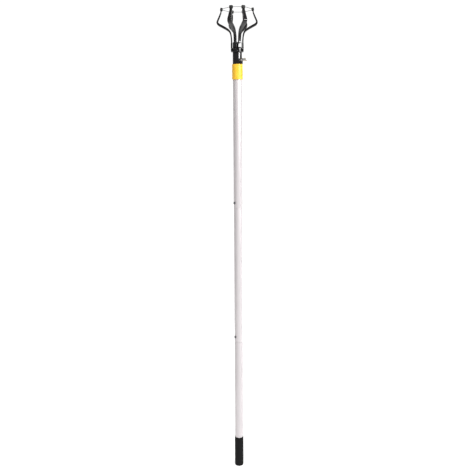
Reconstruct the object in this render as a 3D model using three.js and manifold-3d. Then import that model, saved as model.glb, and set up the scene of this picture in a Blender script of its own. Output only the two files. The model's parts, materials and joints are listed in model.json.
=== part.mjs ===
// A claw-basket head on a three-section aluminium pole with snap-button joints.
// Millimetres, +Z up. The origin is the middle of the grip's flat bottom, on the pole's axis.
import * as THREE from 'three';
import { mergeVertices } from 'three/addons/utils/BufferGeometryUtils.js';
import Module from 'manifold-3d';

const wasm = await Module();
wasm.setup();

// ---------------------------------------------------------------- driving dimensions
const GAP = 0.3;                      // clearance between pieces that fit together
const ROUND = 40;                     // sides of a large round piece
const SMALL_ROUND = 20;               // sides of a small round piece

const TUBE_R = 12.5;                  // pole sections, outside radius
const WALL = 1.2;                     // tube wall
const BORE_R = TUBE_R - WALL;
const SWAGE_R = BORE_R - GAP;         // reduced end that enters the next section
const SWAGE_LENGTH = 60;
const SWAGE_CHAMFER = 0.5;
const JOINT_Z = [408, 817];           // shoulders between the sections
const TUBE_TOP_Z = 1212;

const BUTTON_Z = [424.5, 832];
const BUTTON_AZIMUTH = 220;           // degrees from +X
const BUTTON_R = 3.4;
const BUTTON_PROUD = 3;
const LEAF_WIDTH = 7.6;
const LEAF_THICK = 0.8;
const LEAF_X = 7;                     // outer face of the leaf behind a button

const GRIP_R = 13.5;
const GRIP_TOP_Z = 96;
const GRIP_FLOOR = 3;

const COLLAR_R = 15;
const COLLAR_Z = [1180, 1221.6];
const COLLAR_LIP = 5.3;

const SPIGOT_R = 10.25;               // plug that the head slides onto
const SPIGOT_BORE_R = 6.5;
const SPIGOT_Z = [1170, 1243];
const SPIGOT_FLANGE = 3.7;
const SPIGOT_FLAT_X = 9.6;            // flat that the clamping screw bears on, this far from the axis
const PIN_Z = 1195;
const PIN_R = 1.4;

const NECK_R = 13;
const NECK_Z = [COLLAR_Z[1] + GAP, 1253.4];
const NECK_WEB = 5;
const SCREW_AZIMUTH = -35;            // degrees from +X of the boss, the screw and the spigot's flat
const BOSS_X = 14.4;
const BOSS_WIDTH = 13;
const SCREW_Z = 1233;
const SCREW_R = 2.4;
const INSERT_R = 3.8;
const INSERT_X = [11.6, 14.2];
const SCREW_TIP_X = 11.5;             // slackened, so that the head slides off: it tightens to the flat
const HEAD_X = 20;                    // where the screw's head starts
const WING_TURN = 49;                 // degrees that the wing is turned about the screw
const WING_X = 31;
const WING_WIDTH = 10;

const HUB_BASE_R = 17.8;
const HUB_CORE_R = 12.6;
const HUB_Z = [NECK_Z[1] + GAP, 1280];
const HUB_BASE = 3.3;
const BOLT_R = 2.4;
const BOLT_HEAD_R = 4.8;

const CLAW_ANGLES = [0, 66, 111, 180, 249, 294];
const KNUCKLE = { r: 15.5, z: 1263 }; // pivot of every claw, at this radius
const KNUCKLE_R = 2.4;
const CLAW_PIN_R = 1.1;
const LUG_WIDTH = 4;
const ROOT = { width: 10.6, r: [13.4, 17.8], z: [1257.6, 1279.6] };
const CLAW_END = { r: 44.8, z: 1357.4 };
const TIP_LEAN = THREE.MathUtils.degToRad(10);
const TONGUE = { width: 7.2, thick: 3.4, length: 8 };
const PAD = { width: 9.8, height: 8.2, thick: 7, from: 6 };
const WIRE_R = 0.6;
const WIRE_OFFSET = 0.9;              // two wires lie side by side in each pad
const WIRE_LIFT = 10;                 // distance of the wires from the claw's end

// ---------------------------------------------------------------- solids and booleans
// A geometry's closed surface as a solid: shared vertices joined, slivers on an axis left out.
function solid(geometry) {
  const bare = geometry.clone();
  bare.deleteAttribute('normal');
  bare.deleteAttribute('uv');
  const merged = mergeVertices(bare, 1e-4);
  const corners = merged.index.array;
  const triangles = [];
  for (let i = 0; i < corners.length; i += 3) {
    const [a, b, c] = corners.slice(i, i + 3);
    if (a !== b && b !== c && c !== a) triangles.push(a, b, c);
  }
  return new wasm.Manifold(new wasm.Mesh({
    numProp: 3,
    vertProperties: merged.attributes.position.array,
    triVerts: Uint32Array.from(triangles),
  }));
}

function shapeOf(manifold) {
  const { vertProperties, triVerts } = manifold.getMesh();
  const geometry = new THREE.BufferGeometry();
  geometry.setAttribute('position', new THREE.BufferAttribute(vertProperties, 3));
  geometry.setIndex(new THREE.BufferAttribute(triVerts, 1));
  return geometry;
}

function join(...geometries) {
  return shapeOf(geometries.map(solid).reduce((whole, piece) => whole.add(piece)));
}

function cut(geometry, ...tools) {
  return shapeOf(tools.map(solid).reduce((rest, tool) => rest.subtract(tool), solid(geometry)));
}

function common(first, second) {
  return shapeOf(solid(first).intersect(solid(second)));
}

// ---------------------------------------------------------------- basic forms
// Profile points are [radius, z], anticlockwise around the section.
function turned(profile, sides = ROUND) {
  const onAxis = profile[0][0] === 0 && profile[profile.length - 1][0] === 0;
  const points = profile.map(([r, z]) => new THREE.Vector2(r, z));
  if (!onAxis) points.push(points[0].clone());
  return new THREE.LatheGeometry(points, sides).rotateX(Math.PI / 2);
}

// The same about the X axis: profile points are [radius, x].
function turnedAboutX(profile, sides = SMALL_ROUND) {
  return turned(profile, sides).rotateY(Math.PI / 2);
}

function rodAlongX(radius, x0, x1, sides = SMALL_ROUND) {
  return turnedAboutX([[0, x0], [radius, x0], [radius, x1], [0, x1]], sides);
}

function rodAlongY(radius, length, sides = 16) {
  return new THREE.CylinderGeometry(radius, radius, length, sides);
}

// A block given by its limits on each axis.
function block(x0, x1, y0, y1, z0, z1) {
  return new THREE.BoxGeometry(x1 - x0, y1 - y0, z1 - z0)
    .translate((x0 + x1) / 2, (y0 + y1) / 2, (z0 + z1) / 2);
}

// An outline of [x, z] points given a width along Y, with its edges eased.
function plate(shape, width, ease = 0.6) {
  return new THREE.ExtrudeGeometry(shape, {
    depth: width - 2 * ease,
    bevelThickness: ease,
    bevelSize: ease,
    bevelOffset: -ease,
    bevelSegments: 1,
    bevelEnabled: ease > 0,
    curveSegments: 5,
  }).translate(0, 0, ease - width / 2).rotateX(Math.PI / 2);
}

// The outline of a strip that follows a smooth centre line of { r, z, half } stations.
function stripShape(stations, steps) {
  const line = new THREE.SplineCurve(stations.map(({ r, z }) => new THREE.Vector2(r, z)));
  const outer = [];
  const inner = [];
  for (let i = 0; i <= steps; i++) {
    const t = i / steps;
    const place = t * (stations.length - 1);
    const before = Math.min(Math.floor(place), stations.length - 2);
    const half = THREE.MathUtils.lerp(stations[before].half, stations[before + 1].half, place - before);
    const point = line.getPoint(t);
    const ahead = line.getTangent(t);
    const side = new THREE.Vector2(ahead.y, -ahead.x).multiplyScalar(half);
    outer.push(point.clone().add(side));
    inner.unshift(point.clone().sub(side));
  }
  return new THREE.Shape([...outer, ...inner]);
}

const radians = THREE.MathUtils.degToRad;

// A quarter round from one direction to the next, as [radius, z] points.
function quarter(r, z, radius, fromDegrees, steps = 3) {
  const points = [];
  for (let i = 0; i <= steps; i++) {
    const angle = radians(fromDegrees + (90 * i) / steps);
    points.push([r + radius * Math.cos(angle), z + radius * Math.sin(angle)]);
  }
  return points;
}

// ---------------------------------------------------------------- pole
function gripCap() {
  const round = 3;
  const lip = 0.4;
  return turned([
    [0, 0],
    ...quarter(GRIP_R - round, round, round, -90),
    ...quarter(GRIP_R - lip, GRIP_TOP_Z - lip, lip, 0, 2),
    [TUBE_R + GAP / 2, GRIP_TOP_Z],
    [TUBE_R + GAP / 2, GRIP_FLOOR],
    [0, GRIP_FLOOR],
  ]);
}

// A hole for a snap button through one wall, at a height on the pole.
function buttonHole(z) {
  return rodAlongX(BUTTON_R + GAP, 6, TUBE_R + 2).rotateZ(radians(BUTTON_AZIMUTH)).translate(0, 0, z);
}

// A section whose upper end is reduced to enter the section above.
function swagedTube(bottomZ, shoulderZ) {
  const topZ = shoulderZ + SWAGE_LENGTH;
  return turned([
    [BORE_R, bottomZ],
    [TUBE_R, bottomZ],
    [TUBE_R, shoulderZ - SWAGE_CHAMFER],
    [SWAGE_R, shoulderZ],
    [SWAGE_R, topZ],
    [SWAGE_R - WALL, topZ],
    [SWAGE_R - WALL, shoulderZ - WALL],
    [BORE_R, shoulderZ - 3 * WALL],
  ]);
}

function lowerTube() {
  return cut(swagedTube(GRIP_FLOOR + GAP, JOINT_Z[0]), buttonHole(BUTTON_Z[0]));
}

function middleTube() {
  const tube = swagedTube(JOINT_Z[0] + GAP, JOINT_Z[1]);
  return cut(tube, ...BUTTON_Z.map(buttonHole));
}

function upperTube() {
  const bottomZ = JOINT_Z[1] + GAP;
  const tube = turned([[BORE_R, bottomZ], [TUBE_R, bottomZ], [TUBE_R, TUBE_TOP_Z], [BORE_R, TUBE_TOP_Z]]);
  const pinHole = rodAlongY(PIN_R + GAP, 3 * TUBE_R).translate(0, 0, PIN_Z);
  return cut(tube, buttonHole(BUTTON_Z[1]), pinHole);
}

// A domed button with a flange that stays inside the reduced end of the tube.
function snapButton() {
  const flangeX = [LEAF_X + GAP, LEAF_X + GAP + 1.2];
  const tipX = TUBE_R + BUTTON_PROUD;
  const dome = 1.4;
  return turnedAboutX([
    [0, flangeX[0]],
    [BUTTON_R + 1, flangeX[0]],
    [BUTTON_R + 1, flangeX[1]],
    [BUTTON_R, flangeX[1]],
    ...quarter(BUTTON_R - dome, tipX - dome, dome, 0),
    [0, tipX],
  ]);
}

// The V of spring strip behind a button, which pushes against the far wall.
function snapLeaf() {
  const half = LEAF_THICK / 2;
  const near = LEAF_X - half;
  return plate(stripShape([
    { r: near, z: 7, half },
    { r: near, z: -6, half },
    { r: 5, z: -26, half },
    { r: 3.6, z: -41, half },
    { r: 0, z: -46, half },
    { r: -3.6, z: -41, half },
    { r: -5.6, z: -26, half },
    { r: -8.2, z: -2, half },
  ], 22), LEAF_WIDTH, 0);
}

function collarSleeve() {
  const [bottom, top] = COLLAR_Z;
  const ease = 1.2;
  return turned([
    [TUBE_R + GAP, bottom],
    ...quarter(COLLAR_R - ease, bottom + ease, ease, -90, 3),
    ...quarter(COLLAR_R - ease, top - ease, ease, 0, 3),
    [SPIGOT_R + GAP, top],
    [SPIGOT_R + GAP, top - COLLAR_LIP],
    [TUBE_R + GAP, top - COLLAR_LIP],
  ]);
}

function poleSpigot() {
  const flangeZ = [TUBE_TOP_Z + GAP, TUBE_TOP_Z + GAP + SPIGOT_FLANGE];
  const body = turned([
    [SPIGOT_BORE_R, SPIGOT_Z[0]],
    [BORE_R - GAP, SPIGOT_Z[0]],
    [BORE_R - GAP, flangeZ[0]],
    [TUBE_R, flangeZ[0]],
    [TUBE_R, flangeZ[1]],
    [SPIGOT_R, flangeZ[1]],
    [SPIGOT_R, SPIGOT_Z[1] - 1],
    [SPIGOT_R - 1, SPIGOT_Z[1]],
    [SPIGOT_BORE_R, SPIGOT_Z[1]],
  ]);
  const flat = block(SPIGOT_FLAT_X, TUBE_R, -TUBE_R, TUBE_R, COLLAR_Z[1], SPIGOT_Z[1] + 1);
  around(flat, SCREW_AZIMUTH);
  const pinHole = rodAlongY(PIN_R + GAP, 3 * TUBE_R).translate(0, 0, PIN_Z);
  return cut(body, flat, pinHole);
}

function spigotPin() {
  return rodAlongY(PIN_R, 2 * TUBE_R - 1.4).translate(0, 0, PIN_Z);
}

// ---------------------------------------------------------------- head
function neckSocket() {
  const [bottom, top] = NECK_Z;
  const bore = SPIGOT_R + GAP;
  const sleeve = turned([
    [bore - 0.2, bottom],
    [NECK_R, bottom],
    [NECK_R, top],
    [BOLT_R + 0.4, top],
    [BOLT_R + 0.4, top - NECK_WEB],
    [bore - 0.2, top - NECK_WEB],
  ]);
  const boss = new THREE.Shape();
  const half = BOSS_WIDTH / 2;
  boss.moveTo(bottom + GAP, -half);
  boss.lineTo(SCREW_Z, -half);
  boss.absarc(SCREW_Z, 0, half, -Math.PI / 2, Math.PI / 2);
  boss.lineTo(bottom + GAP, half);
  const depth = BOSS_X - bore;
  const bossBody = new THREE.ExtrudeGeometry(boss, { depth, bevelEnabled: false, curveSegments: 16 })
    .applyMatrix4(new THREE.Matrix4().makeBasis(
      new THREE.Vector3(0, 0, 1),
      new THREE.Vector3(0, 1, 0),
      new THREE.Vector3(-1, 0, 0),
    ))
    .translate(BOSS_X, 0, 0)
    .rotateZ(radians(SCREW_AZIMUTH));
  const hollow = turned([[0, bottom - 1], [bore, bottom - 1], [bore, top - NECK_WEB], [0, top - NECK_WEB]]);
  const pocket = rodAlongX(INSERT_R + GAP, INSERT_X[0] - GAP, BOSS_X + 1);
  const screwHole = rodAlongX(SCREW_R + 0.4, 5, BOSS_X + 1);
  const tools = [pocket, screwHole].map((tool) => around(tool, SCREW_AZIMUTH).translate(0, 0, SCREW_Z));
  return cut(join(sleeve, bossBody), hollow, ...tools);
}

// The threaded brass sleeve set into the neck's boss.
function screwInsert() {
  const bore = SCREW_R + 0.35;
  return turnedAboutX([
    [bore, INSERT_X[0]],
    [INSERT_R, INSERT_X[0]],
    [INSERT_R, INSERT_X[1]],
    [bore, INSERT_X[1]],
  ], 12).translate(0, 0, SCREW_Z);
}

function thumbScrew() {
  const headEnd = HEAD_X + 4.5;
  const stem = turnedAboutX([
    [0, SCREW_TIP_X],
    [SCREW_R - 0.5, SCREW_TIP_X],
    [SCREW_R, SCREW_TIP_X + 0.5],
    [SCREW_R, HEAD_X],
    [3.4, HEAD_X],
    [3.4, headEnd - 1],
    [2.6, headEnd],
    [0, headEnd],
  ]);
  const half = WING_WIDTH / 2;
  const wing = new THREE.Shape();
  wing.moveTo(HEAD_X + 1, -2.5);
  wing.bezierCurveTo(HEAD_X + 3, -half, HEAD_X + 4, -half, WING_X - 3, -half);
  wing.absarc(WING_X - 2, -half + 2, 2, -Math.PI / 2, Math.PI / 2 + 0.3, false);
  wing.quadraticCurveTo(headEnd, 0, WING_X - 2, half - 4);
  wing.absarc(WING_X - 2, half - 2, 2, -Math.PI / 2 - 0.3, Math.PI / 2, false);
  wing.bezierCurveTo(HEAD_X + 4, half, HEAD_X + 3, half, HEAD_X + 1, 2.5);
  return join(stem, plate(wing, 2.2, 0.5))
    .rotateX(radians(WING_TURN))
    .translate(0, 0, SCREW_Z);
}

// Places a piece made at azimuth 0 around the pole's axis.
function around(geometry, degrees) {
  return geometry.rotateZ(radians(degrees));
}

function clawLug() {
  const lug = new THREE.Shape();
  lug.moveTo(HUB_CORE_R - 1, HUB_Z[0] + 1);
  lug.lineTo(HUB_BASE_R - 0.4, HUB_Z[0] + 1);
  lug.lineTo(KNUCKLE.r + KNUCKLE_R - 0.2, KNUCKLE.z);
  lug.absarc(KNUCKLE.r, KNUCKLE.z, KNUCKLE_R - 0.2, 0, Math.PI / 2, false);
  lug.lineTo(HUB_CORE_R - 1, KNUCKLE.z + KNUCKLE_R - 0.2);
  return plate(lug, LUG_WIDTH, 0);
}

function hubCrown() {
  const [bottom, top] = HUB_Z;
  const shank = BOLT_R + 0.4;
  const counterbore = BOLT_HEAD_R + 0.4;
  const dome = 2;
  const core = turned([
    [shank, bottom],
    [HUB_BASE_R - 0.6, bottom],
    [HUB_BASE_R, bottom + 0.6],
    [HUB_BASE_R, bottom + HUB_BASE - 0.6],
    [HUB_BASE_R - 0.6, bottom + HUB_BASE],
    [HUB_CORE_R, bottom + HUB_BASE + 0.4],
    ...quarter(HUB_CORE_R - dome, top - dome, dome, 0),
    [counterbore, top],
    [counterbore, top - 4.7],
    [shank, top - 4.7],
  ]);
  const lugs = CLAW_ANGLES.map((angle) => around(clawLug(), angle));
  const pinHoles = CLAW_ANGLES.map((angle) => around(clawPin(CLAW_PIN_R + GAP, LUG_WIDTH + 2), angle));
  return cut(join(core, ...lugs), ...pinHoles);
}

function clawPin(radius = CLAW_PIN_R, length = ROOT.width - 0.2) {
  return rodAlongY(radius, length, 12).translate(KNUCKLE.r, 0, KNUCKLE.z);
}

function crownBolt() {
  const seat = HUB_Z[1] - 4.7 + GAP;
  const body = turned([
    [0, NECK_Z[1] - NECK_WEB - 5.5],
    [BOLT_R, NECK_Z[1] - NECK_WEB - 5.5],
    [BOLT_R, seat],
    [BOLT_HEAD_R, seat],
    ...quarter(BOLT_HEAD_R - 1, seat + 2.8, 1, 0, 2),
    [0, seat + 3.8],
  ], SMALL_ROUND);
  const socket = turned([[0, seat + 1.4], [2.2, seat + 1.4], [2.2, seat + 5], [0, seat + 5]], 6);
  return cut(body, socket);
}

function crownNut() {
  const top = NECK_Z[1] - NECK_WEB - GAP;
  const hexagon = 6;
  const body = turned([[0, top - 4], [4.6, top - 4], [4.6, top], [0, top]], hexagon);
  const bore = turned([[0, top - 5], [BOLT_R + 0.35, top - 5], [BOLT_R + 0.35, top + 1], [0, top + 1]], 20);
  return cut(body, bore);
}

// ---------------------------------------------------------------- claws
// The claw rises beside the hub, runs out to an elbow and leans back in to its tip.
const CLAW_LINE = [
  { r: KNUCKLE.r, z: KNUCKLE.z + 1, half: 2 },
  { r: 15.6, z: 1283, half: 2 },
  { r: 17.2, z: 1299, half: 2 },
  { r: 20.6, z: 1308.5, half: 2.4 },
  { r: 28.4, z: 1315.1, half: 3 },
  { r: 40.4, z: 1321.8, half: 3.2 },
  { r: 50.5, z: 1327.3, half: 3.1 },
  { r: 54.6, z: 1332.5, half: 2.6 },
  { r: 53, z: 1338.5, half: 2.2 },
  { r: 49.4, z: 1346.4, half: 2.1 },
  { ...CLAW_END, half: 1.9 },
];

// Half the strip's width at each height: slim up the stem, broad at the elbow, slim at the tip.
const CLAW_WIDTHS = [
  [3.8, ROOT.z[0]],
  [3.8, 1305],
  [5, 1318],
  [5.8, 1327],
  [5.8, 1334],
  [4.7, 1350],
  [3.7, CLAW_END.z],
  [3.7, CLAW_END.z + 5],
];

function clawStrip() {
  const side = CLAW_WIDTHS.map(([half, z]) => new THREE.Vector2(half, z));
  const otherSide = CLAW_WIDTHS.map(([half, z]) => new THREE.Vector2(-half, z)).reverse();
  const outline = new THREE.Shape([...side, ...otherSide]);
  const depth = 60;
  const front = new THREE.ExtrudeGeometry(outline, { depth, bevelEnabled: false })
    .applyMatrix4(new THREE.Matrix4().makeBasis(
      new THREE.Vector3(0, 1, 0),
      new THREE.Vector3(0, 0, 1),
      new THREE.Vector3(1, 0, 0),
    ));
  return common(plate(stripShape(CLAW_LINE, 26), 12, 0), front);
}

// The square block at the claw's foot, slotted over its lug on the hub.
function clawRoot() {
  const [r0, r1] = ROOT.r;
  const [z0, z1] = ROOT.z;
  const ease = 1.2;
  const outline = new THREE.Shape();
  outline.moveTo(r0, z0);
  outline.lineTo(r1, z0);
  outline.lineTo(r1, z1 - ease);
  outline.lineTo(r1 - ease, z1);
  outline.lineTo(r0 + ease, z1);
  outline.lineTo(r0, z1 - ease);
  return plate(outline, ROOT.width, 0.3);
}

function claw() {
  const { width, thick, length } = TONGUE;
  const tongue = atTip(block(-thick / 2, thick / 2, -width / 2, width / 2, -2, length));
  const halfSlot = LUG_WIDTH / 2 + GAP;
  const slot = block(0, 2 * KNUCKLE.r, -halfSlot, halfSlot, HUB_Z[0], KNUCKLE.z + KNUCKLE_R + 1.2);
  const pinHole = clawPin(CLAW_PIN_R + GAP, 2 * ROOT.width);
  return cut(join(clawStrip(), clawRoot(), tongue), slot, pinHole);
}

// Moves a piece made upright on the origin to the claw's leaning end.
function atTip(geometry) {
  return geometry.rotateY(-TIP_LEAN).translate(CLAW_END.r, 0, CLAW_END.z);
}

// A soft pad pushed over the claw's tongue, with a slot for the ring wires.
function tipPad() {
  const corner = 2.4;
  const x = PAD.width / 2 - corner;
  const y = PAD.height / 2 - corner;
  const face = new THREE.Shape();
  face.absarc(x, y, corner, 0, Math.PI / 2, false);
  face.absarc(-x, y, corner, Math.PI / 2, Math.PI, false);
  face.absarc(-x, -y, corner, Math.PI, 1.5 * Math.PI, false);
  face.absarc(x, -y, corner, 1.5 * Math.PI, 2 * Math.PI, false);
  const ease = 1.2;
  const body = new THREE.ExtrudeGeometry(face, {
    depth: PAD.thick - 2 * ease,
    bevelThickness: ease,
    bevelSize: ease,
    bevelOffset: -ease,
    bevelSegments: 1,
    curveSegments: 3,
  }).translate(0, 0, ease - PAD.thick / 2)
    .applyMatrix4(new THREE.Matrix4().makeBasis(
      new THREE.Vector3(0, 1, 0),
      new THREE.Vector3(0, 0, 1),
      new THREE.Vector3(1, 0, 0),
    ))
    .translate(0, 0, PAD.from + PAD.height / 2);
  const halfWidth = TONGUE.width / 2 + GAP;
  const halfThick = TONGUE.thick / 2 + GAP;
  const pocket = block(-halfThick, halfThick, -halfWidth, halfWidth, 0, TONGUE.length + GAP);
  const slotHalf = WIRE_OFFSET + WIRE_R + 0.5;
  const slotRise = WIRE_R + GAP;
  const slot = block(-slotHalf, slotHalf, -PAD.width, PAD.width, WIRE_LIFT - slotRise, WIRE_LIFT + slotRise);
  return atTip(cut(body, pocket, slot));
}

// A point beside a claw's tip: along its tangent, and outwards from the wires' middle.
function wirePoint(angle, along, outward) {
  const r = CLAW_END.r - WIRE_LIFT * Math.sin(TIP_LEAN) + outward;
  const z = CLAW_END.z + WIRE_LIFT * Math.cos(TIP_LEAN);
  return new THREE.Vector3(r, along, z).applyAxisAngle(new THREE.Vector3(0, 0, 1), radians(angle));
}

// The wire from one claw's pad to the next: it lies outside in its own pad, inside in the next.
function ringWire(index) {
  const angle = CLAW_ANGLES[index];
  const next = CLAW_ANGLES[(index + 1) % CLAW_ANGLES.length];
  const reach = PAD.width / 2 - 0.5;
  const exit = PAD.width / 2 + 1;
  const path = new THREE.CatmullRomCurve3([
    ...[-reach, 0, reach, exit].map((along) => wirePoint(angle, along, WIRE_OFFSET)),
    ...[-exit, -reach, 0, reach].map((along) => wirePoint(next, along, -WIRE_OFFSET)),
  ], false, 'centripetal');
  const section = new THREE.Shape().absarc(0, 0, WIRE_R, 0, 2 * Math.PI, false);
  return new THREE.ExtrudeGeometry(section, { steps: 20, extrudePath: path, curveSegments: 4 });
}

// ---------------------------------------------------------------- materials and assembly
const COLOURS = {
  satinAluminium: { color: 0xc4bcbe, roughness: 0.35, metalness: 0.9 },
  blackVinyl: { color: 0x17181a, roughness: 0.6, metalness: 0 },
  yellowPlastic: { color: 0xf2b92e, roughness: 0.45, metalness: 0 },
  blackPlastic: { color: 0x141417, roughness: 0.3, metalness: 0 },
  blackRubber: { color: 0x1c1c1e, roughness: 0.7, metalness: 0 },
  steel: { color: 0x9a9b9e, roughness: 0.3, metalness: 1 },
  brass: { color: 0xb08d4a, roughness: 0.35, metalness: 1 },
  zinc: { color: 0xa6a8ab, roughness: 0.45, metalness: 1 },
  springWire: { color: 0x3b3b3f, roughness: 0.4, metalness: 0.8 },
};

const poleClaws = new THREE.Group();

function add(name, geometry, finish, degrees = 0, lift = 0) {
  const mesh = new THREE.Mesh(geometry, new THREE.MeshStandardMaterial(COLOURS[finish]));
  mesh.name = name;
  mesh.rotation.z = radians(degrees);
  mesh.position.z = lift;
  poleClaws.add(mesh);
}

add('grip_cap', gripCap(), 'blackVinyl');
add('lower_tube', lowerTube(), 'satinAluminium');
add('middle_tube', middleTube(), 'satinAluminium');
add('upper_tube', upperTube(), 'satinAluminium');
['lower', 'upper'].forEach((end, i) => {
  add(`${end}_snap_button`, snapButton(), 'steel', BUTTON_AZIMUTH, BUTTON_Z[i]);
  add(`${end}_snap_leaf`, snapLeaf(), 'steel', BUTTON_AZIMUTH, BUTTON_Z[i]);
});
add('collar_sleeve', collarSleeve(), 'yellowPlastic');
add('pole_spigot', poleSpigot(), 'blackPlastic');
add('spigot_pin', spigotPin(), 'steel');
add('neck_socket', neckSocket(), 'blackPlastic');
add('screw_insert', screwInsert(), 'brass', SCREW_AZIMUTH);
add('thumb_screw', thumbScrew(), 'zinc', SCREW_AZIMUTH);
add('hub_crown', hubCrown(), 'blackPlastic');
add('crown_bolt', crownBolt(), 'steel');
add('crown_nut', crownNut(), 'steel');
CLAW_ANGLES.forEach((angle, i) => {
  add(`claw_${i + 1}`, claw(), 'blackPlastic', angle);
  add(`claw_pin_${i + 1}`, clawPin(), 'steel', angle);
  add(`tip_pad_${i + 1}`, tipPad(), 'blackRubber', angle);
  add(`ring_wire_${i + 1}`, ringWire(i), 'springWire');
});

export default poleClaws;
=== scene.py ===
"""Looks for a sectional pole with a claw-basket head. Metres, +Z up, in the CAD model's frame."""
import json
import math

import bmesh
import bpy
from mathutils import Matrix, Vector


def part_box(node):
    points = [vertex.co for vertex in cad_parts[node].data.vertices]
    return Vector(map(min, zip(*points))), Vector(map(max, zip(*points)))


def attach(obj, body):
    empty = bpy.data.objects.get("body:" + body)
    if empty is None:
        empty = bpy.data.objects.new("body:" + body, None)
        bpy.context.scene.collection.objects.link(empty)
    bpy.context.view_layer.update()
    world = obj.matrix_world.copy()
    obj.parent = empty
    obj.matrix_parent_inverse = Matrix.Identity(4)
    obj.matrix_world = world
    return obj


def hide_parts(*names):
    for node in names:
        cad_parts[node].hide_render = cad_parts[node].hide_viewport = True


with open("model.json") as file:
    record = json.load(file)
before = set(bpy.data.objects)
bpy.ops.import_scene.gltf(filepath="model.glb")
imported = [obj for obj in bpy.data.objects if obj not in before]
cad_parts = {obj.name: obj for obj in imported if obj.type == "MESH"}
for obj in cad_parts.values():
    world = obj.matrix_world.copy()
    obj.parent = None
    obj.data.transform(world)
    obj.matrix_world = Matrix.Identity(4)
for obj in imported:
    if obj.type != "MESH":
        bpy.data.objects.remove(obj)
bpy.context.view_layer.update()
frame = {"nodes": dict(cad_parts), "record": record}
RECORD = frame["record"]

MM = 0.001
ROUND = 96                      # sides of a large turned piece
SMALL_ROUND = 40                # sides of a small turned piece
CREASE = math.radians(32)       # edges sharper than this stay crisp


# ------------------------------------------------------------------ facts read from the frame
def middle(node):
    low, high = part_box(node)
    return (low + high) / 2


def joint(name):
    return next(j for j in RECORD["behaviour"]["joints"] if j["name"] == name)


def width(node, axis=1):
    low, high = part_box(node)
    return (high - low)[axis]


CLAWS = [f"claw_{i}" for i in range(1, 7)]
CLAW_ANGLES = [math.atan2(*reversed(joint(f"{name}_flex")["pos_m"][:2])) % math.tau for name in CLAWS]
KNUCKLE_R = Vector(joint("claw_1_flex")["pos_m"][:2]).length
KNUCKLE_Z = joint("claw_1_flex")["pos_m"][2]
SCREW_AXIS = Vector(joint("thumb_screw_turn")["axis"])
SCREW_Z = joint("thumb_screw_turn")["pos_m"][2]
SCREW_ANGLE = math.atan2(SCREW_AXIS.y, SCREW_AXIS.x)
BUTTON_OUT = -Vector(joint("lower_button_press")["axis"])
BUTTON_ANGLE = math.atan2(BUTTON_OUT.y, BUTTON_OUT.x)
TUBE_R = width("upper_tube") / 2
WALL = 1.2 * MM
NECK_BORE = 10.55 * MM          # radius of the neck's bore and of the collar's throat
BOLT_HOLE = 2.8 * MM            # radius of the crown bolt's hole
PIN_HOLE = 1.4 * MM             # radius of a claw pin's hole
SCREW_TIP = 11.5 * MM           # the slackened screw's tip, from the pole's axis
WING_TURN = math.radians(49)    # how far the screw's wing is turned at rest


# ------------------------------------------------------------------ mesh tools
def new_object(name, mesh):
    piece = bpy.data.objects.new(name, mesh)
    bpy.context.scene.collection.objects.link(piece)
    return piece


def from_bmesh(name, bm, crease=CREASE):
    bmesh.ops.remove_doubles(bm, verts=bm.verts, dist=1e-6)
    bmesh.ops.recalc_face_normals(bm, faces=bm.faces)
    mesh = bpy.data.meshes.new(name)
    bm.to_mesh(mesh)
    bm.free()
    mesh.shade_smooth()
    mesh.set_sharp_from_angle(angle=crease)
    return new_object(name, mesh)


def bake(piece):
    """Applies the piece's modifiers to its mesh."""
    bpy.context.view_layer.update()
    evaluated = piece.evaluated_get(bpy.context.evaluated_depsgraph_get())
    mesh = bpy.data.meshes.new_from_object(evaluated)
    piece.modifiers.clear()
    old = piece.data
    piece.data = mesh
    bpy.data.meshes.remove(old)
    mesh.name = piece.name
    mesh.shade_smooth()
    mesh.set_sharp_from_angle(angle=CREASE)
    return piece


def combine(piece, operation, *others):
    """Joins a piece to others, or cuts it by them. The others are used up."""
    for other in others:
        modifier = piece.modifiers.new("combine", "BOOLEAN")
        modifier.operation = operation
        modifier.solver = "EXACT"
        modifier.object = other
    bake(piece)
    for other in others:
        bpy.data.objects.remove(other)
    return piece


def cut(piece, *tools):
    return combine(piece, "DIFFERENCE", *tools)


def join(piece, *others):
    return combine(piece, "UNION", *others)


def ease_edges(piece, size, segments=2, angle=math.radians(35)):
    modifier = piece.modifiers.new("ease", "BEVEL")
    modifier.width = size
    modifier.segments = segments
    modifier.limit_method = "ANGLE"
    modifier.angle_limit = angle
    modifier.use_clamp_overlap = True
    return bake(piece)


def turned(name, profile, sides=ROUND):
    """A body of revolution about Z.

    The profile is [radius, z] points. It is closed, or open with both ends on the axis.
    """
    on_axis = profile[0][0] == 0 and profile[-1][0] == 0
    bm = bmesh.new()
    rings = []
    for r, z in profile:
        if r == 0:
            rings.append([bm.verts.new((0, 0, z))])
            continue
        turn = [math.tau * i / sides for i in range(sides)]
        rings.append([bm.verts.new((r * math.cos(a), r * math.sin(a), z)) for a in turn])
    pairs = list(zip(rings, rings[1:]))
    if not on_axis:
        pairs.append((rings[-1], rings[0]))
    for lower, upper in pairs:
        for i in range(sides):
            k = (i + 1) % sides
            below = [lower[i % len(lower)], lower[k % len(lower)]]
            above = [upper[k % len(upper)], upper[i % len(upper)]]
            corners = below + above
            corners = [v for n, v in enumerate(corners) if v not in corners[:n]]
            if len(corners) > 2:
                bm.faces.new(corners)
    return from_bmesh(name, bm)


def arc(r, z, radius, start, stop, steps=6):
    """Points of a round in a profile, from one angle in degrees to another."""
    turn = [math.radians(start + (stop - start) * i / steps) for i in range(steps + 1)]
    return [(r + radius * math.cos(a), z + radius * math.sin(a)) for a in turn]


def place(piece, matrix):
    piece.data.transform(matrix)
    return piece


def spin(angle):
    return Matrix.Rotation(angle, 4, "Z")


def shift(x, y, z):
    return Matrix.Translation((x, y, z))


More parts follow.
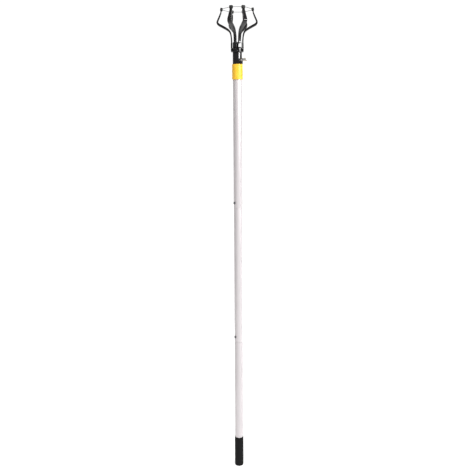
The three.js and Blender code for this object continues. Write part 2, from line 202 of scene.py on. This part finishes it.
ALONG_X = Matrix.Rotation(math.pi / 2, 4, "Y")       # stands a turned piece along +X
ALONG_Y = Matrix.Rotation(-math.pi / 2, 4, "X")      # stands a turned piece along +Y


def rod(name, radius, start, stop, sides=SMALL_ROUND):
    return turned(name, [(0, start), (radius, start), (radius, stop), (0, stop)], sides)


def slab(name, outline, low, high):
    """An outline of [x, z] points, given thickness along Y from low to high."""
    bm = bmesh.new()
    near = [bm.verts.new((x, low, z)) for x, z in outline]
    far = [bm.verts.new((x, high, z)) for x, z in outline]
    bm.faces.new(near)
    bm.faces.new(reversed(far))
    for i in range(len(outline)):
        k = (i + 1) % len(outline)
        bm.faces.new([near[i], near[k], far[k], far[i]])
    return from_bmesh(name, bm)


def spline(points, steps):
    """Points along a smooth line through the given ones, each a tuple of numbers."""
    line = []
    last = len(points) - 1
    for i in range(steps + 1):
        t = i / steps * last
        k = min(int(t), last - 1)
        u = t - k
        ends = [points[max(k - 1, 0)], points[k], points[k + 1], points[min(k + 2, last)]]
        weights = [
            (-u + 2 * u * u - u**3) / 2,
            (2 - 5 * u * u + 3 * u**3) / 2,
            (u + 4 * u * u - 3 * u**3) / 2,
            (-u * u + u**3) / 2,
        ]
        line.append(tuple(sum(w * p[n] for w, p in zip(weights, ends)) for n in range(len(points[0]))))
    return line


# ------------------------------------------------------------------ materials
class Look:
    """A Principled material and short ways to add procedural detail to it."""

    def __init__(self, name):
        self.material = bpy.data.materials.new(name)
        self.material.use_nodes = True
        self.tree = self.material.node_tree
        self.shader = self.tree.nodes["Principled BSDF"]
        self.place = self.tree.nodes.new("ShaderNodeTexCoord").outputs["Object"]

    def set(self, **values):
        for name, value in values.items():
            self.shader.inputs[name.replace("_", " ")].default_value = value
        return self

    def node(self, kind, values=None, links=None):
        node = self.tree.nodes.new("ShaderNode" + kind)
        for name, value in (values or {}).items():
            node.inputs[name].default_value = value
        for name, source in (links or {}).items():
            self.tree.links.new(source, node.inputs[name])
        return node

    def stretched(self, scale):
        return self.node("Mapping", {"Scale": scale}, {"Vector": self.place}).outputs["Vector"]

    def noise(self, scale, detail=3.0, rough=0.55, stretch=(1, 1, 1)):
        values = {"Scale": scale, "Detail": detail, "Roughness": rough}
        return self.node("TexNoise", values, {"Vector": self.stretched(stretch)}).outputs["Fac"]

    def cells(self, scale):
        return self.node("TexVoronoi", {"Scale": scale}, {"Vector": self.place}).outputs["Distance"]

    def spread(self, source, low, high, start=0.3, stop=0.7):
        values = {"From Min": start, "From Max": stop, "To Min": low, "To Max": high}
        return self.node("MapRange", values, {"Value": source}).outputs["Result"]

    def tint(self, source, dark, light, start=0.3, stop=0.7):
        ramp = self.node("ValToRGB", None, {"Fac": source})
        ramp.color_ramp.elements[0].position = start
        ramp.color_ramp.elements[0].color = (*dark, 1)
        ramp.color_ramp.elements[1].position = stop
        ramp.color_ramp.elements[1].color = (*light, 1)
        return ramp.outputs["Color"]

    def blend(self, factor, first, second):
        mix = self.tree.nodes.new("ShaderNodeMix")
        mix.data_type = "RGBA"
        self.tree.links.new(factor, mix.inputs[0])
        self.tree.links.new(first, mix.inputs[6])
        self.tree.links.new(second, mix.inputs[7])
        return mix.outputs[2]

    def colour(self, source):
        self.tree.links.new(source, self.shader.inputs["Base Color"])
        return self

    def roughness(self, source):
        self.tree.links.new(source, self.shader.inputs["Roughness"])
        return self

    def bump(self, *layers):
        """Each layer is (source, strength, depth in metres)."""
        below = None
        for source, strength, depth in layers:
            links = {"Height": source}
            if below:
                links["Normal"] = below
            below = self.node("Bump", {"Strength": strength, "Distance": depth}, links).outputs["Normal"]
        self.tree.links.new(below, self.shader.inputs["Normal"])
        return self


def painted_silver():
    look = Look("satin_silver").set(Metallic=0.25, IOR=1.5)
    drawn = look.noise(900, 2, 0.5, (1, 1, 0.006))
    cloudy = look.noise(14, 3, 0.5, (1, 1, 0.35))
    fleck = look.noise(5200, 1, 0.5)
    base = look.tint(cloudy, (0.55, 0.515, 0.525), (0.61, 0.575, 0.585))
    streaked = look.tint(drawn, (0.52, 0.49, 0.50), (0.64, 0.605, 0.615))
    mixed = look.blend(look.spread(fleck, 0.2, 0.6), base, streaked)
    look.colour(mixed)
    look.roughness(look.spread(drawn, 0.36, 0.5))
    look.bump((drawn, 0.12, 0.00008), (fleck, 0.08, 0.00003))
    return look.material


def grip_vinyl():
    look = Look("soft_black_vinyl").set(IOR=1.45, Specular_IOR_Level=0.16)
    pebble = look.cells(1500)
    wear = look.noise(70, 5, 0.65)
    look.colour(look.tint(wear, (0.004, 0.004, 0.0042), (0.008, 0.0078, 0.008)))
    look.roughness(look.spread(wear, 0.62, 0.8))
    look.bump((pebble, 0.3, 0.00015), (wear, 0.2, 0.0002))
    return look.material


def collar_plastic():
    look = Look("yellow_plastic").set(IOR=1.47, Subsurface_Weight=0.12, Subsurface_Scale=0.002)
    look.set(Subsurface_Radius=(1.0, 0.6, 0.2))
    grain = look.noise(2600, 2, 0.5)
    cloudy = look.noise(60, 4, 0.6)
    look.colour(look.tint(cloudy, (0.83, 0.46, 0.028), (0.9, 0.54, 0.045)))
    look.roughness(look.spread(cloudy, 0.34, 0.46))
    look.bump((grain, 0.16, 0.00006), (cloudy, 0.15, 0.0003))
    return look.material


def black_plastic():
    look = Look("black_moulded_plastic").set(IOR=1.49)
    grain = look.noise(3000, 2, 0.5)
    flow = look.noise(45, 4, 0.6, (1, 1, 0.4))
    dust = look.noise(420, 5, 0.7)
    look.colour(look.tint(dust, (0.0075, 0.007, 0.0075), (0.014, 0.0135, 0.014), 0.45, 0.8))
    look.roughness(look.spread(dust, 0.06, 0.16))
    look.bump((grain, 0.06, 0.00003), (flow, 0.05, 0.0003))
    return look.material


def tip_rubber():
    look = Look("tip_rubber").set(IOR=1.45, Sheen_Weight=0.1, Sheen_Roughness=0.4)
    grain = look.noise(2400, 3, 0.6)
    dust = look.noise(300, 5, 0.7)
    look.colour(look.tint(dust, (0.008, 0.008, 0.008), (0.018, 0.0175, 0.017), 0.4, 0.8))
    look.roughness(look.spread(dust, 0.55, 0.75))
    look.bump((grain, 0.35, 0.00012))
    return look.material


def metal(name, dark, light, low, high, grain=900):
    look = Look(name).set(Metallic=1.0)
    fine = look.noise(grain, 3, 0.6)
    broad = look.noise(120, 4, 0.6)
    look.colour(look.tint(broad, dark, light))
    look.roughness(look.spread(fine, low, high))
    look.bump((fine, 0.15, 0.00006))
    return look.material


LOOKS = {
    "aluminium": painted_silver(),
    "grip_vinyl": grip_vinyl(),
    "collar_yellow": collar_plastic(),
    "black_plastic": black_plastic(),
    "tip_rubber": tip_rubber(),
    "steel": metal("nickel_steel", (0.42, 0.42, 0.43), (0.56, 0.56, 0.57), 0.2, 0.34),
    # a much darker copy of the nickel steel: painted shade, so the snap buttons show as dark dots
    "shade_darkened_nickel": metal("shade_darkened_nickel", (0.09, 0.09, 0.095), (0.15, 0.15, 0.155), 0.3, 0.42),
    "brass": metal("brass", (0.52, 0.36, 0.14), (0.66, 0.48, 0.22), 0.24, 0.4),
    "zinc": metal("zinc_plate", (0.36, 0.37, 0.39), (0.52, 0.53, 0.54), 0.32, 0.48, 1600),
    "spring_wire": metal("dark_wire", (0.05, 0.05, 0.052), (0.1, 0.1, 0.1), 0.35, 0.5),
}


def settle(piece, body, slot, *nodes, look=None):
    """Gives a piece its finish, its body and the CAD nodes that it stands for."""
    piece.data.materials.clear()
    piece.data.materials.append(LOOKS[look or slot])
    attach(piece, body)
    if nodes:
        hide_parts(*nodes)
    return piece


# ------------------------------------------------------------------ pole
def grip():
    low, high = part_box("grip_cap")
    outer = high.x
    inner = TUBE_R + 0.15 * MM
    rounding = 3 * MM
    lip = 0.35 * MM
    floor = 3 * MM
    piece = turned("grip", [
        (0, low.z),
        *arc(outer - rounding, low.z + rounding, rounding, -90, 0, 10),
        *arc(outer - lip, high.z - lip, lip, 0, 90, 4),
        *arc(inner + lip, high.z - lip, lip, 90, 180, 4),
        (inner, low.z + floor),
        (0, low.z + floor),
    ])
    return settle(piece, "pole", "grip_vinyl", "grip_cap")


def button_hole(z):
    hole = rod("hole", width("lower_snap_button", 2) / 2 - 0.7 * MM, 6 * MM, 16 * MM)
    return place(hole, shift(0, 0, z) @ spin(BUTTON_ANGLE) @ ALONG_X)


def tube(name, shoulder, holes):
    """A pole section. One with a shoulder goes on, reduced, into the section above."""
    low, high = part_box(name)
    bore = TUBE_R - WALL
    edge = 0.3 * MM
    foot = [(bore, low.z), *arc(TUBE_R - edge, low.z + edge, edge, -90, 0, 3)]
    if shoulder:
        reduced = bore - 0.3 * MM
        top = [
            *arc(TUBE_R - edge, shoulder - edge, edge, 0, 70, 3),
            (reduced, shoulder),
            (reduced, high.z - 1.5 * MM),
            (reduced - 0.8 * MM, high.z),
            (reduced - WALL, high.z),
            (reduced - WALL, shoulder - WALL),
            (bore, shoulder - 3 * WALL),
        ]
    else:
        top = [*arc(TUBE_R - edge, high.z - edge, edge, 0, 90, 3), (bore, high.z)]
    piece = turned(name.replace("_tube", "_section"), foot + top)
    if holes:
        cut(piece, *[button_hole(z) for z in holes])
    return settle(piece, "pole", "aluminium", name)


def pole_sections():
    heights = [middle("lower_snap_button").z, middle("upper_snap_button").z]
    shoulders = [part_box("middle_tube")[0].z - 0.3 * MM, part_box("upper_tube")[0].z - 0.3 * MM]
    tube("lower_tube", shoulders[0], heights[:1])
    tube("middle_tube", shoulders[1], heights)
    tube("upper_tube", None, heights[1:])


def snap_button(end):
    z = middle(f"{end}_snap_button").z
    flange = 7.3 * MM
    tip = TUBE_R + 3 * MM
    shank = 3.4 * MM
    dome = 2 * MM
    piece = turned(f"{end}_button", [
        (0, flange),
        (shank + MM, flange),
        (shank + MM, flange + 1.2 * MM),
        (shank, flange + 1.2 * MM),
        *arc(shank - dome, tip - dome, dome, 0, 90, 8),
        (0, tip),
    ], SMALL_ROUND)
    place(piece, shift(0, 0, z) @ spin(BUTTON_ANGLE) @ ALONG_X)
    # the button's steel is darkened with painted shade, so that it shows as a dark dot
    return settle(piece, f"{end}_button", "steel", f"{end}_snap_button", look="shade_darkened_nickel")


def collar():
    low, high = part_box("collar_sleeve")
    outer = high.x
    bore = TUBE_R + 0.3 * MM
    lip = 5.3 * MM
    ease = 1.2 * MM
    bead = 0.35 * MM
    piece = turned("yellow_collar", [
        (bore, low.z),
        *arc(outer - ease, low.z + ease, ease, -90, 0, 6),
        (outer, high.z - 4.2 * MM),
        (outer - bead, high.z - 3.8 * MM),
        (outer - bead, high.z - 3.4 * MM),
        (outer, high.z - 3 * MM),
        *arc(outer - ease, high.z - ease, ease, 0, 90, 6),
        (NECK_BORE, high.z),
        (NECK_BORE, high.z - lip),
        (bore, high.z - lip),
    ])
    return settle(piece, "pole", "collar_yellow", "collar_sleeve")


# ------------------------------------------------------------------ head
def neck():
    low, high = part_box("neck_socket")
    outer = 13 * MM
    bore = NECK_BORE
    web = 5 * MM
    edge = 0.6 * MM
    piece = turned("neck", [
        (bore, low.z),
        *arc(outer - edge, low.z + edge, edge, -90, 0, 4),
        *arc(outer - edge, high.z - edge, edge, 0, 90, 4),
        (BOLT_HOLE, high.z),
        (BOLT_HOLE, high.z - web),
        (bore, high.z - web),
    ])
    half = 6.5 * MM
    face = 14.4 * MM
    outline = [(low.z + 0.3 * MM, -half)]
    outline += [(SCREW_Z + half * math.cos(a), half * math.sin(a)) for a in half_turn(24)]
    outline += [(low.z + 0.3 * MM, half)]
    bm = bmesh.new()
    rings = [[bm.verts.new((x, y, z)) for z, y in outline] for x in (bore + 0.5 * MM, face)]
    bm.faces.new(rings[0])
    bm.faces.new(reversed(rings[1]))
    for i in range(len(outline)):
        k = (i + 1) % len(outline)
        bm.faces.new([rings[0][i], rings[0][k], rings[1][k], rings[1][i]])
    boss = ease_edges(from_bmesh("boss", bm), 0.7 * MM, 3)
    place(boss, spin(SCREW_ANGLE))
    hollow = rod("hollow", bore, low.z - MM, high.z - web, ROUND)
    pocket = rod("pocket", 4.1 * MM, 11.3 * MM, 16 * MM)
    hole = rod("hole", 2.8 * MM, 5 * MM, 16 * MM)
    for tool in (pocket, hole):
        place(tool, shift(0, 0, SCREW_Z) @ spin(SCREW_ANGLE) @ ALONG_X)
    cut(join(piece, boss), hollow, pocket, hole)
    return settle(piece, "head", "black_plastic", "neck_socket")


def half_turn(steps):
    return [math.pi * (i / steps - 0.5) for i in range(steps + 1)]


def claw_pin_cutter(length, angle):
    """The solid that drills a claw pin's hole."""
    pin = rod("hole", PIN_HOLE, -length / 2, length / 2, 24)
    return place(pin, spin(angle) @ shift(KNUCKLE_R, 0, KNUCKLE_Z) @ ALONG_Y)


def hub():
    low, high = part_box("hub_crown")
    base = 17.8 * MM
    core = 12.6 * MM
    dome = 2 * MM
    edge = 0.6 * MM
    well = 5.2 * MM
    depth = 4.7 * MM
    foot = 3.3 * MM
    piece = turned("hub", [
        (BOLT_HOLE, low.z),
        *arc(base - edge, low.z + edge, edge, -90, 0, 3),
        *arc(base - edge, low.z + foot - edge, edge, 0, 90, 3),
        *arc(core + MM, low.z + foot + MM, MM, -90, -180, 4),
        *arc(core - dome, high.z - dome, dome, 0, 90, 8),
        *arc(well + edge, high.z - edge, edge, 90, 180, 3),
        (well, high.z - depth),
        (BOLT_HOLE, high.z - depth),
    ])
    reach = 2.2 * MM
    lugs = []
    for angle in CLAW_ANGLES:
        outline = [(core - MM, low.z + MM), (base - 0.4 * MM, low.z + MM)]
        outline += [(KNUCKLE_R + reach * math.cos(a), KNUCKLE_Z + reach * math.sin(a))
                    for a in [math.pi / 2 * i / 10 for i in range(11)]]
        outline += [(core - MM, KNUCKLE_Z + reach)]
        lug = ease_edges(slab("lug", outline, -2 * MM, 2 * MM), 0.35 * MM)
        lugs.append(place(lug, spin(angle)))
    join(piece, *lugs)
    cut(piece, *[claw_pin_cutter(6 * MM, angle) for angle in CLAW_ANGLES])
    return settle(piece, "head", "black_plastic", "hub_crown")


def crown_bolt():
    low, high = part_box("crown_bolt")
    head = 4.8 * MM
    seat = high.z - 3.8 * MM
    shank = 2.4 * MM
    piece = turned("hub_bolt", [
        (0, low.z),
        (shank - 0.4 * MM, low.z),
        (shank, low.z + 0.4 * MM),
        (shank, seat),
        (head, seat),
        *arc(head - MM, seat + 2.8 * MM, MM, 0, 90, 6),
        (0, high.z),
    ], SMALL_ROUND)
    cut(piece, rod("socket", 2.2 * MM, seat + 1.4 * MM, high.z + MM, 6))
    return settle(piece, "head", "steel", "crown_bolt")


def thread(core, crest, pitch, start, stop, steps=18):
    """A helical ridge about Z, as a strip of triangular section."""
    bm = bmesh.new()
    turns = (stop - start) / pitch
    count = int(turns * steps)
    rows = []
    for i in range(count + 1):
        a = math.tau * i / steps
        z = start + pitch * i / steps
        fade = min(1, i / steps, (count - i) / steps)
        height = core + (crest - core) * fade
        ring = [(core - 0.1 * MM, -0.4), (height, 0), (core - 0.1 * MM, 0.4)]
        rows.append([bm.verts.new((r * math.cos(a), r * math.sin(a), z + w * pitch)) for r, w in ring])
    for a, b in zip(rows, rows[1:]):
        for i in range(3):
            k = (i + 1) % 3
            bm.faces.new([a[i], a[k], b[k], b[i]])
    bm.faces.new(rows[0])
    bm.faces.new(reversed(rows[-1]))
    return from_bmesh("thread", bm, math.radians(20))


def merge(name, *pieces):
    """Puts several pieces' meshes into one object, without a boolean."""
    bm = bmesh.new()
    for piece in pieces:
        bm.from_mesh(piece.data)
    whole = from_bmesh(name, bm)
    for piece in pieces:
        bpy.data.objects.remove(piece)
    return whole


def thumb_screw():
    head = 20 * MM
    end = head + 4.5 * MM
    tip = SCREW_TIP
    wing_end = 31 * MM
    shank = 2.4 * MM
    stem = turned("stem", [
        (0, tip),
        (shank - 0.7 * MM, tip),
        (shank - 0.3 * MM, tip + 0.4 * MM),
        (shank - 0.3 * MM, head - 1.2 * MM),
        (shank, head - MM),
        (shank, head),
        *arc(3.1 * MM, head + 0.3 * MM, 0.3 * MM, -90, 0, 3),
        *arc(2.6 * MM, end - 0.8 * MM, 0.8 * MM, 0, 90, 5),
        (0, end),
    ], SMALL_ROUND)
    half = 5 * MM
    lobe = spline([
        (head + 0.8 * MM, 1.6 * MM),
        (head + 3 * MM, 3.4 * MM),
        (head + 6 * MM, half - 0.4 * MM),
        (wing_end - 2.2 * MM, half - 0.1 * MM),
        (wing_end - 0.4 * MM, half - 1.6 * MM),
        (wing_end - 1.2 * MM, half - 3.2 * MM),
        (wing_end - 3.8 * MM, 1.2 * MM),
    ], 30)
    outline = lobe + [(x, -z) for x, z in reversed(lobe)]
    wing = ease_edges(slab("wing", outline, -1.1 * MM, 1.1 * MM), 0.5 * MM, 3)
    place(stem, ALONG_X)
    join(stem, wing)
    ease_edges(stem, 0.25 * MM, 2, math.radians(40))
    ridge = place(thread(shank - 0.3 * MM, shank, 0.8 * MM, tip + 0.8 * MM, head - 1.6 * MM), ALONG_X)
    piece = merge("wing_screw", stem, ridge)
    turn = Matrix.Rotation(WING_TURN, 4, "X")
    place(piece, shift(0, 0, SCREW_Z) @ spin(SCREW_ANGLE) @ turn)
    return settle(piece, "thumb_screw", "zinc", "thumb_screw")


# ------------------------------------------------------------------ claws
CLAW_LINE = [                   # radius, height and half thickness along a claw, in millimetres
    (15.5, 1264, 2),
    (15.6, 1283, 2),
    (17.2, 1299, 2),
    (20.6, 1308.5, 2.4),
    (28.4, 1315.1, 3),
    (40.4, 1321.8, 3.2),
    (50.5, 1327.3, 3.1),
    (54.3, 1332.5, 2.6),
    (53, 1338.5, 2.2),
    (49.4, 1346.4, 2.1),
    (44.8, 1357.4, 1.9),
]
CLAW_WIDTHS = [                 # height and half width along a claw, in millimetres
    (1260, 3.8),
    (1305, 3.8),
    (1318, 5),
    (1327, 5.8),
    (1334, 5.8),
    (1350, 4.7),
    (1357.4, 3.9),
]
CLAW_STEPS = 96
ROOT_HALF = 5.3 * MM            # half the root block's width
ROOT_R = (13.4 * MM, 17.8 * MM)
ROOT_Z = (1257.6 * MM, 1279.6 * MM)
CLAW_END = (44.8 * MM, 1357.4 * MM)
TIP_LEAN = math.radians(10)     # the pads lean in by this much
TONGUE = (1.7 * MM, 3.6 * MM, 8 * MM)       # half thickness, half width and length
PAD_SIZE = (7 * MM, 9.8 * MM, 8.2 * MM)     # thickness, width and height
PAD_MIDDLE = 10.1 * MM          # the pad's middle above the claw's end
WIRE_LIFT = 10 * MM             # the ring wire above the claw's end
WIRE_OFFSET = 0.9 * MM          # a wire's two ends lie this far out and in, side by side in a pad
WIRE_R = 0.6 * MM
WIRE_STEPS = 84
WIRE_SIDES = 12


def half_width(z):
    """Half the claw's width at a height, eased between the listed ones."""
    z /= MM
    for (z0, w0), (z1, w1) in zip(CLAW_WIDTHS, CLAW_WIDTHS[1:]):
        if z <= z1:
            t = max(0, (z - z0) / (z1 - z0))
            return (w0 + (w1 - w0) * t * t * (3 - 2 * t)) * MM
    return CLAW_WIDTHS[-1][1] * MM


def claw_strip(name):
    """The claw's curved blade: four corners at every step along its line."""
    line = spline([tuple(v * MM for v in station) for station in CLAW_LINE], CLAW_STEPS)
    bm = bmesh.new()
    rows = []
    for i, (r, z, half) in enumerate(line):
        before = line[max(i - 1, 0)]
        after = line[min(i + 1, CLAW_STEPS)]
        ahead = Vector((after[0] - before[0], after[1] - before[1])).normalized()
        y = half_width(z)
        outer = (r + ahead.y * half, z - ahead.x * half)
        inner = (r - ahead.y * half, z + ahead.x * half)
        corners = [(outer, -y), (outer, y), (inner, y), (inner, -y)]
        rows.append([bm.verts.new((edge[0], side, edge[1])) for edge, side in corners])
    for a, b in zip(rows, rows[1:]):
        for i in range(4):
            k = (i + 1) % 4
            bm.faces.new([a[i], a[k], b[k], b[i]])
    bm.faces.new(rows[0])
    bm.faces.new(reversed(rows[-1]))
    return from_bmesh(name, bm)


def tip_frame():
    return shift(CLAW_END[0], 0, CLAW_END[1]) @ Matrix.Rotation(-TIP_LEAN, 4, "Y")


def block(name, x, y, low, high):
    outline = [(-x, low), (x, low), (x, high), (-x, high)]
    return slab(name, outline, -y, y)


def claw(index):
    name = CLAWS[index]
    piece = ease_edges(claw_strip(f"{name}_arm"), 0.7 * MM, 3)
    (r0, r1), (z0, z1) = ROOT_R, ROOT_Z
    ease = 1.2 * MM
    outline = [
        (r0, z0), (r1, z0),
        *arc(r1 - ease, z1 - ease, ease, 0, 90, 4),
        *arc(r0 + ease, z1 - ease, ease, 90, 180, 4),
    ]
    root = ease_edges(slab("root", outline, -ROOT_HALF, ROOT_HALF), 0.45 * MM, 3)
    thick, wide, length = TONGUE
    tongue = place(block("tongue", thick, wide, -2 * MM, length), tip_frame())
    join(piece, root, ease_edges(tongue, 0.3 * MM))
    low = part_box("hub_crown")[0].z
    high = KNUCKLE_Z + 3.6 * MM
    reach = 2 * KNUCKLE_R
    fork = 2.3 * MM
    slot = slab("slot", [(0, low), (reach, low), (reach, high), (0, high)], -fork, fork)
    cut(piece, slot, claw_pin_cutter(20 * MM, 0))
    place(piece, spin(CLAW_ANGLES[index]))
    return settle(piece, name, "black_plastic", name)


def claw_pin(index):
    node = f"claw_pin_{index + 1}"
    half = 5.2 * MM
    radius = 1.1 * MM
    piece = turned(f"{node}_rod", [
        (0, -half),
        *arc(radius - 0.4 * MM, -half + 0.4 * MM, 0.4 * MM, -90, 0, 4),
        *arc(radius - 0.4 * MM, half - 0.4 * MM, 0.4 * MM, 0, 90, 4),
        (0, half),
    ], 24)
    place(piece, spin(CLAW_ANGLES[index]) @ shift(KNUCKLE_R, 0, KNUCKLE_Z) @ ALONG_Y)
    return settle(piece, "head", "steel", node)


def pad(index):
    name = CLAWS[index]
    bm = bmesh.new()
    bmesh.ops.create_cube(bm, size=1)
    bmesh.ops.scale(bm, verts=bm.verts, vec=PAD_SIZE)
    bmesh.ops.bevel(bm, geom=bm.edges, offset=2 * MM, segments=5, profile=0.6, affect="EDGES")
    piece = from_bmesh(f"tip_pad_{index + 1}_cap", bm)
    place(piece, shift(0, 0, PAD_MIDDLE))
    gap = 0.3 * MM
    thick, wide, length = TONGUE
    pocket = block("pocket", thick + gap, wide + gap, 0, length + gap)
    rise = WIRE_R + gap
    slot = block("slot", 2 * MM, 10 * MM, WIRE_LIFT - rise, WIRE_LIFT + rise)
    cut(piece, pocket, slot)
    place(piece, spin(CLAW_ANGLES[index]) @ tip_frame())
    return settle(piece, name, "tip_rubber", f"tip_pad_{index + 1}")


def wire_point(angle, along, outward):
    r = CLAW_END[0] - WIRE_LIFT * math.sin(TIP_LEAN) + outward
    return spin(angle) @ Vector((r, along, CLAW_END[1] + WIRE_LIFT * math.cos(TIP_LEAN)))


def swept(name, path, radius):
    """A round bar along a path of points, with flat ends."""
    bm = bmesh.new()
    rows = []
    up = Vector((0, 0, 1))
    for i, point in enumerate(path):
        ahead = (path[min(i + 1, len(path) - 1)] - path[max(i - 1, 0)]).normalized()
        side = ahead.cross(up).normalized()
        over = side.cross(ahead)
        turn = [math.tau * k / WIRE_SIDES for k in range(WIRE_SIDES)]
        rows.append([bm.verts.new(point + radius * (side * math.cos(a) + over * math.sin(a))) for a in turn])
    for a, b in zip(rows, rows[1:]):
        for i in range(WIRE_SIDES):
            k = (i + 1) % WIRE_SIDES
            bm.faces.new([a[i], a[k], b[k], b[i]])
    bm.faces.new(rows[0])
    bm.faces.new(reversed(rows[-1]))
    return from_bmesh(name, bm)


def ring_wire(index):
    angle = CLAW_ANGLES[index]
    after = CLAW_ANGLES[(index + 1) % len(CLAW_ANGLES)]
    reach = PAD_SIZE[1] / 2 - 0.5 * MM
    leave = PAD_SIZE[1] / 2 + MM
    route = [wire_point(angle, along, WIRE_OFFSET) for along in (-reach, 0, reach, leave)]
    route += [wire_point(after, along, -WIRE_OFFSET) for along in (-leave, -reach, 0, reach)]
    path = [Vector(p) for p in spline([tuple(p) for p in route], WIRE_STEPS)]
    piece = swept(f"ring_span_{index + 1}", path, WIRE_R)
    return settle(piece, CLAWS[index], "spring_wire", f"ring_wire_{index + 1}")


# ------------------------------------------------------------------ hidden CAD nodes keep their own mesh
def keep_node(name, slot):
    node = frame["nodes"][name]
    node.data.materials.clear()
    node.data.materials.append(LOOKS[slot])


# ------------------------------------------------------------------ studio
CAMERA_AZIMUTH = math.radians(1.4)
CAMERA_DISTANCE = 1.769
CAMERA_HEIGHT = 1.069
CAMERA_PITCH = math.radians(10.65)
CAMERA_ROLL = math.radians(0.335)
CAMERA_ASIDE = 0.0093           # the pole stands this far to the right of the view's middle
LENS = 46.9
SENSOR = 36
ROOM_LIGHT = 0.28
FLOOR_HALF = 12                 # half the floor's side
FLOOR_GLOW = 0.42               # at the pole's foot
FLOOR_GLOW_START = -0.7         # the glow rises from here, in front of the pole, to its foot
FAR_GLOW = 0.95
FAR_GLOW_Y = 5
BACKDROP_HALF = 6               # half the backdrop's side
BACKDROP_DISTANCE = 6
BACKDROP_HEIGHT = 3
# each light: degrees to the camera's right, distance, height, size, power, and the height that it points at
KEY_LIGHT = (53, 2.3, 1.66, (1.3, 0.5), 57, 1.25)
FILL_LIGHT = (-5, 2.6, 4.6, (1.6, 2.2), 145, 1.1)


def camera():
    data = bpy.data.cameras.new("camera")
    data.lens = LENS
    data.sensor_width = SENSOR
    data.clip_end = 50
    eye = bpy.data.objects.new("camera", data)
    bpy.context.scene.collection.objects.link(eye)
    back = Vector((math.sin(CAMERA_AZIMUTH), -math.cos(CAMERA_AZIMUTH), 0))
    right = Vector((math.cos(CAMERA_AZIMUTH), math.sin(CAMERA_AZIMUTH), 0))
    spot = back * CAMERA_DISTANCE - right * CAMERA_ASIDE
    spot.z = CAMERA_HEIGHT
    turn = spin(CAMERA_AZIMUTH) @ Matrix.Rotation(math.pi / 2 - CAMERA_PITCH, 4, "X")
    eye.matrix_world = shift(*spot) @ turn @ Matrix.Rotation(-CAMERA_ROLL, 4, "Z")
    bpy.context.scene.camera = eye


def soft_light(name, aside, distance, height, size, power, aim):
    azimuth = CAMERA_AZIMUTH + math.radians(aside)
    data = bpy.data.lights.new(name, "AREA")
    data.shape = "RECTANGLE"
    data.size, data.size_y = size
    data.energy = power
    lamp = bpy.data.objects.new(name, data)
    bpy.context.scene.collection.objects.link(lamp)
    spot = Vector((math.sin(azimuth) * distance, -math.cos(azimuth) * distance, height))
    lamp.location = spot
    lamp.rotation_euler = (Vector((0, 0, aim)) - spot).to_track_quat("-Z", "Y").to_euler()


def studio():
    scene = bpy.context.scene
    scene.view_settings.view_transform = "Standard"
    world = bpy.data.worlds.new("room")
    scene.world = world
    world.use_nodes = True
    room = world.node_tree.nodes["Background"]
    room.inputs["Color"].default_value = (1, 1, 1, 1)
    room.inputs["Strength"].default_value = ROOM_LIGHT
    pale_floor()
    backdrop()
    soft_light("key", *KEY_LIGHT)
    soft_light("fill", *FILL_LIGHT)


def pale_floor():
    """A plain pale floor that glows more the further behind the pole it lies."""
    bm = bmesh.new()
    bmesh.ops.create_grid(bm, x_segments=8, y_segments=8, size=FLOOR_HALF)
    floor = from_bmesh("floor", bm)
    look = Look("pale_floor").set(Roughness=0.9, Emission_Color=(1, 1, 1, 1))
    speck = look.noise(3, 3, 0.5)
    depth = look.node("SeparateXYZ", None, {"Vector": look.place}).outputs["Y"]
    near = look.spread(depth, 0, FLOOR_GLOW, FLOOR_GLOW_START, 0)
    look.colour(look.tint(speck, (0.86, 0.86, 0.86), (0.89, 0.89, 0.89)))
    glow = look.spread(depth, 0, FAR_GLOW, 0, FAR_GLOW_Y)
    look.tree.links.new(near, glow.node.inputs["To Min"])
    look.tree.links.new(glow, look.shader.inputs["Emission Strength"])
    floor.data.materials.append(look.material)


def backdrop():
    """A white glowing wall behind the pole."""
    bm = bmesh.new()
    bmesh.ops.create_grid(bm, x_segments=4, y_segments=4, size=BACKDROP_HALF)
    wall = from_bmesh("backdrop", bm)
    upright = Matrix.Rotation(math.pi / 2, 4, "X")
    place(wall, spin(CAMERA_AZIMUTH) @ shift(0, BACKDROP_DISTANCE, BACKDROP_HEIGHT) @ upright)
    look = Look("white_backdrop").set(Roughness=0.9, Emission_Color=(1, 1, 1, 1), Emission_Strength=1.0)
    speck = look.noise(3, 3, 0.5)
    look.colour(look.tint(speck, (0.03, 0.03, 0.03), (0.05, 0.05, 0.05)))
    wall.data.materials.append(look.material)


# ------------------------------------------------------------------ the whole
camera()
studio()
grip()
pole_sections()
for end in ("lower", "upper"):
    snap_button(end)
    keep_node(f"{end}_snap_leaf", "steel")
collar()
keep_node("pole_spigot", "black_plastic")
keep_node("spigot_pin", "steel")
neck()
keep_node("screw_insert", "brass")
hub()
crown_bolt()
keep_node("crown_nut", "steel")
thumb_screw()
for number in range(len(CLAWS)):
    claw(number)
    claw_pin(number)
    pad(number)
    ring_wire(number)
